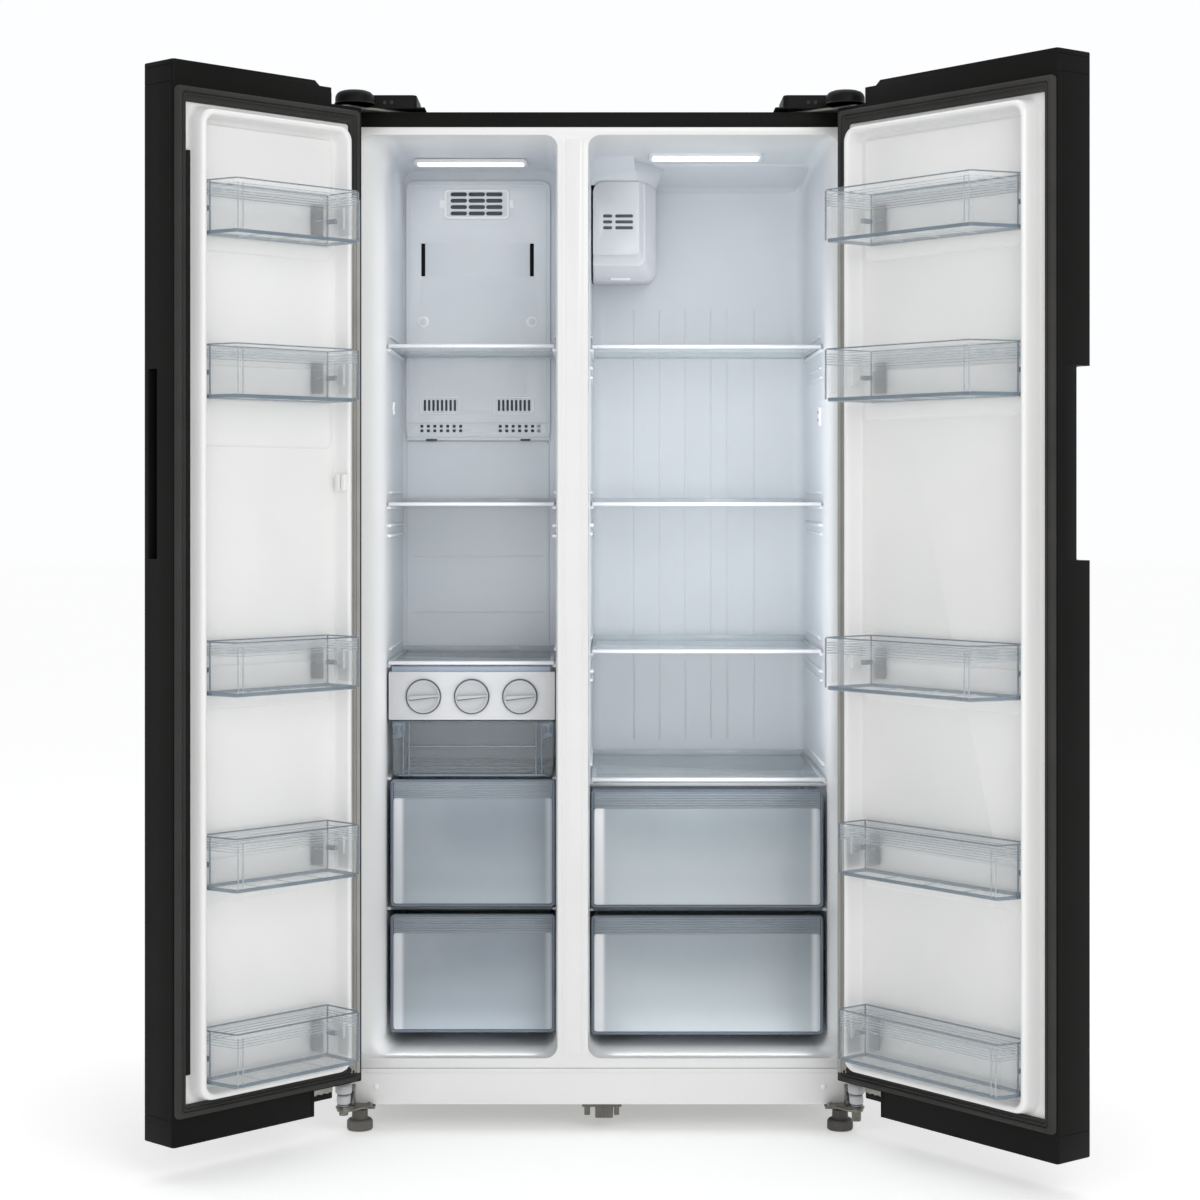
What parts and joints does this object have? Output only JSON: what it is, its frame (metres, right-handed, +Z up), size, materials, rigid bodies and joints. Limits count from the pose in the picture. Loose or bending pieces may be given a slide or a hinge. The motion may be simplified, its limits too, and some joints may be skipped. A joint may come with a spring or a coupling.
{
  "type": "side by side refrigerator",
  "caption": "Tall side by side refrigerator with both doors open, clear door bins and shelves, drawers, twist ice trays and levelling feet.",
  "frame": {"origin": "floor level, under the middle of the bounding box with both doors open", "axes": "+Z up, +X to the right seen from the front, +Y from the front towards the back of the cabinet"},
  "size_m": [1.4854, 1.086, 1.779],
  "materials": {
    "dark_steel": "satin",
    "white_steel": "satin",
    "foam": "matte",
    "liner_plastic": "satin",
    "door_plastic": "satin",
    "white_plastic": "satin",
    "zinc_steel": "satin",
    "compressor_paint": "gloss",
    "aluminium_fins": "satin",
    "black_plastic": "matte",
    "grey_plastic": "matte",
    "lamp_lens": "matte",
    "clear_plastic": "gloss",
    "shelf_glass": "gloss",
    "drawer_plastic": "gloss",
    "seal": "matte"
  },
  "bodies": {
    "cabinet": {"cabinet_wrap": "dark_steel", "front_frame": "white_steel", "cabinet_insulation": "foam", "freezer_liner": "liner_plastic", "fridge_liner": "liner_plastic", "base_pan": "zinc_steel", "back_panel": "zinc_steel", "toe_panel": "white_steel", "compressor": "compressor_paint", "evaporator": "aluminium_fins", "evaporator_cover": "liner_plastic", "duct_housing": "white_plastic", "freezer_lamp": "lamp_lens", "fridge_lamp": "lamp_lens", "freezer_shelf_1": "shelf_glass", "freezer_shelf_2": "shelf_glass", "freezer_shelf_3": "shelf_glass", "fridge_shelf_1": "shelf_glass", "fridge_shelf_2": "shelf_glass", "fridge_shelf_3": "shelf_glass", "fridge_shelf_4": "shelf_glass", "ice_maker_frame": "white_plastic", "top_hinge_left": "zinc_steel", "hinge_cover_left": "black_plastic", "lower_hinge_left": "zinc_steel", "top_hinge_right": "zinc_steel", "hinge_cover_right": "black_plastic", "lower_hinge_right": "zinc_steel", "centre_support": "grey_plastic"},
    "freezer_door": {"freezer_door_panel": "dark_steel", "freezer_door_insulation": "foam", "freezer_door_liner": "door_plastic", "freezer_door_gasket": "seal", "freezer_bin_1": "clear_plastic", "freezer_bin_2": "clear_plastic", "freezer_bin_3": "clear_plastic", "freezer_bin_4": "clear_plastic", "freezer_bin_5": "clear_plastic"},
    "fridge_door": {"fridge_door_panel": "dark_steel", "fridge_door_insulation": "foam", "fridge_door_liner": "door_plastic", "fridge_door_gasket": "seal", "fridge_bin_1": "clear_plastic", "fridge_bin_2": "clear_plastic", "fridge_bin_3": "clear_plastic", "fridge_bin_4": "clear_plastic", "fridge_bin_5": "clear_plastic"},
    "ice_tray_1": {"ice_tray_1": "white_plastic"},
    "ice_tray_2": {"ice_tray_2": "white_plastic"},
    "ice_tray_3": {"ice_tray_3": "white_plastic"},
    "ice_bucket": {"ice_bucket": "clear_plastic"},
    "freezer_drawer_upper": {"freezer_drawer_upper": "drawer_plastic"},
    "freezer_drawer_lower": {"freezer_drawer_lower": "drawer_plastic"},
    "crisper_upper": {"crisper_upper": "drawer_plastic"},
    "crisper_lower": {"crisper_lower": "drawer_plastic"},
    "evaporator_fan": {"evaporator_fan": "black_plastic"},
    "levelling_foot_left": {"levelling_foot_left": "grey_plastic"},
    "levelling_foot_right": {"levelling_foot_right": "grey_plastic"},
    "rear_rollers": {"rear_rollers": "grey_plastic"}
  },
  "joints": [
    {"name": "freezer_door_swing", "type": "hinge", "parent": "cabinet", "child": "freezer_door", "pos_m": [-0.45272, -0.13104, 0.9], "axis": [0, 0, -1], "range_deg": [-133.6, 0]},
    {"name": "fridge_door_swing", "type": "hinge", "parent": "cabinet", "child": "fridge_door", "pos_m": [0.41728, -0.13104, 0.9], "axis": [0, 0, 1], "range_deg": [-128.35, 0]},
    {"name": "ice_twist_1", "type": "hinge", "parent": "cabinet", "child": "ice_tray_1", "pos_m": [-0.32672, 0.00496, 0.738], "axis": [0, 1, 0], "range_deg": [0, 150], "stiffness_Nm_per_rad": 0.4},
    {"name": "ice_twist_2", "type": "hinge", "parent": "cabinet", "child": "ice_tray_2", "pos_m": [-0.24232, 0.00496, 0.738], "axis": [0, 1, 0], "range_deg": [0, 150], "stiffness_Nm_per_rad": 0.4},
    {"name": "ice_twist_3", "type": "hinge", "parent": "cabinet", "child": "ice_tray_3", "pos_m": [-0.15792, 0.00496, 0.738], "axis": [0, 1, 0], "range_deg": [0, 150], "stiffness_Nm_per_rad": 0.4},
    {"name": "ice_bucket_slide", "type": "slide", "parent": "cabinet", "child": "ice_bucket", "axis": [0, -1, 0], "range_m": [0, 0.24]},
    {"name": "freezer_drawer_upper_slide", "type": "slide", "parent": "cabinet", "child": "freezer_drawer_upper", "axis": [0, -1, 0], "range_m": [0, 0.25]},
    {"name": "freezer_drawer_lower_slide", "type": "slide", "parent": "cabinet", "child": "freezer_drawer_lower", "axis": [0, -1, 0], "range_m": [0, 0.25]},
    {"name": "crisper_upper_slide", "type": "slide", "parent": "cabinet", "child": "crisper_upper", "axis": [0, -1, 0], "range_m": [0, 0.22]},
    {"name": "crisper_lower_slide", "type": "slide", "parent": "cabinet", "child": "crisper_lower", "axis": [0, -1, 0], "range_m": [0, 0.22]},
    {"name": "evaporator_fan_spin", "type": "hinge", "parent": "cabinet", "child": "evaporator_fan", "pos_m": [-0.25022, 0.39696, 1.6], "axis": [0, 1, 0], "continuous": true},
    {"name": "levelling_foot_left_turn", "type": "hinge", "parent": "cabinet", "child": "levelling_foot_left", "pos_m": [-0.43072, -0.07104, 0.02], "axis": [0, 0, 1], "continuous": true},
    {"name": "levelling_foot_right_turn", "type": "hinge", "parent": "cabinet", "child": "levelling_foot_right", "pos_m": [0.39528, -0.07104, 0.02], "axis": [0, 0, 1], "continuous": true},
    {"name": "rear_rollers_spin", "type": "hinge", "parent": "cabinet", "child": "rear_rollers", "pos_m": [-0.01772, 0.49196, 0.022], "axis": [1, 0, 0], "continuous": true}
  ]
}
